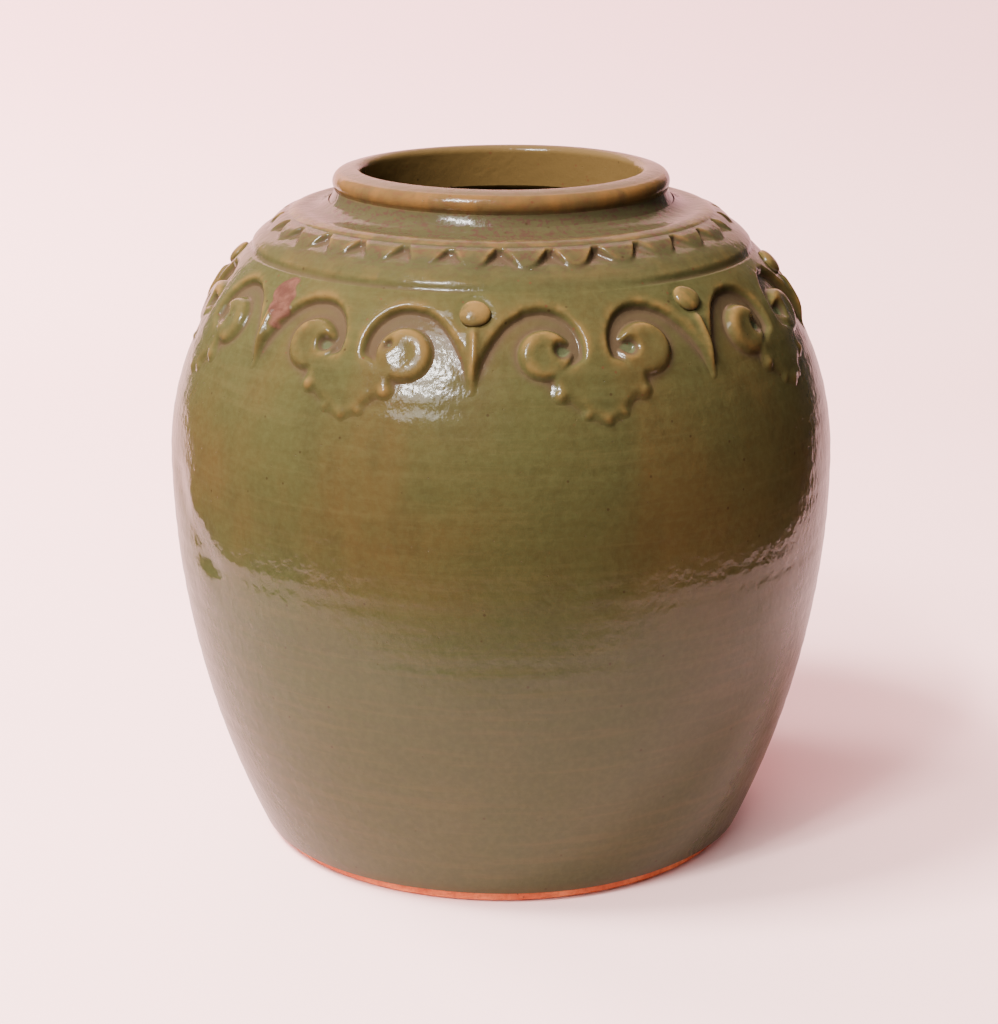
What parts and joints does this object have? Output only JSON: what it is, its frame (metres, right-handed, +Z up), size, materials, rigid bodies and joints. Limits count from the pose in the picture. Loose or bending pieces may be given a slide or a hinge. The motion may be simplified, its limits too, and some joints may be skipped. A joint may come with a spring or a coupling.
{
  "type": "ginger jar",
  "caption": "Glazed stoneware jar with a round shoulder, low bare foot and short neck, and an applied collar of toothed band, scroll lappets and beaded pendants.",
  "frame": {"origin": "centre of the foot ring, on the plane the jar stands on", "axes": "+Z up along the axis of the jar, -Y towards the front, +X to the right seen from the front"},
  "size_m": [0.157, 0.157, 0.16],
  "materials": {
    "foot_ring": "bare fired stoneware, matt orange red",
    "base_disc": "glazed inside, bare underneath",
    "lower_wall": "glossy olive green to brown celadon glaze",
    "upper_wall": "glossy olive green to brown celadon glaze",
    "neck_ring": "glossy olive green to brown celadon glaze",
    "rim_ring": "glossy, glaze thin and tan on the edge",
    "tooth_band": "glossy olive green to brown celadon glaze",
    "lappet_1": "glossy olive green to brown celadon glaze",
    "lappet_2": "glossy olive green to brown celadon glaze",
    "lappet_3": "glossy olive green to brown celadon glaze",
    "lappet_4": "glossy olive green to brown celadon glaze",
    "lappet_5": "glossy olive green to brown celadon glaze",
    "lappet_6": "glossy olive green to brown celadon glaze",
    "lappet_7": "glossy olive green to brown celadon glaze",
    "lappet_8": "glossy olive green to brown celadon glaze",
    "pendant_1": "glossy olive green to brown celadon glaze",
    "pendant_2": "glossy olive green to brown celadon glaze",
    "pendant_3": "glossy olive green to brown celadon glaze",
    "pendant_4": "glossy olive green to brown celadon glaze",
    "pendant_5": "glossy olive green to brown celadon glaze",
    "pendant_6": "glossy olive green to brown celadon glaze",
    "pendant_7": "glossy olive green to brown celadon glaze",
    "pendant_8": "glossy olive green to brown celadon glaze",
    "bead_1": "glossy, glaze thin and tan",
    "bead_2": "glossy, glaze thin and tan",
    "bead_3": "glossy, glaze thin and tan",
    "bead_4": "glossy, glaze thin and tan",
    "bead_5": "glossy, glaze thin and tan",
    "bead_6": "glossy, glaze thin and tan",
    "bead_7": "glossy, glaze thin and tan",
    "bead_8": "glossy, glaze thin and tan"
  },
  "bodies": {
    "root": {"foot_ring": "foot_ring", "base_disc": "base_disc", "lower_wall": "lower_wall", "upper_wall": "upper_wall", "neck_ring": "neck_ring", "rim_ring": "rim_ring", "tooth_band": "tooth_band", "lappet_1": "lappet_1", "lappet_2": "lappet_2", "lappet_3": "lappet_3", "lappet_4": "lappet_4", "lappet_5": "lappet_5", "lappet_6": "lappet_6", "lappet_7": "lappet_7", "lappet_8": "lappet_8", "pendant_1": "pendant_1", "pendant_2": "pendant_2", "pendant_3": "pendant_3", "pendant_4": "pendant_4", "pendant_5": "pendant_5", "pendant_6": "pendant_6", "pendant_7": "pendant_7", "pendant_8": "pendant_8", "bead_1": "bead_1", "bead_2": "bead_2", "bead_3": "bead_3", "bead_4": "bead_4", "bead_5": "bead_5", "bead_6": "bead_6", "bead_7": "bead_7", "bead_8": "bead_8"}
  },
  "joints": []
}
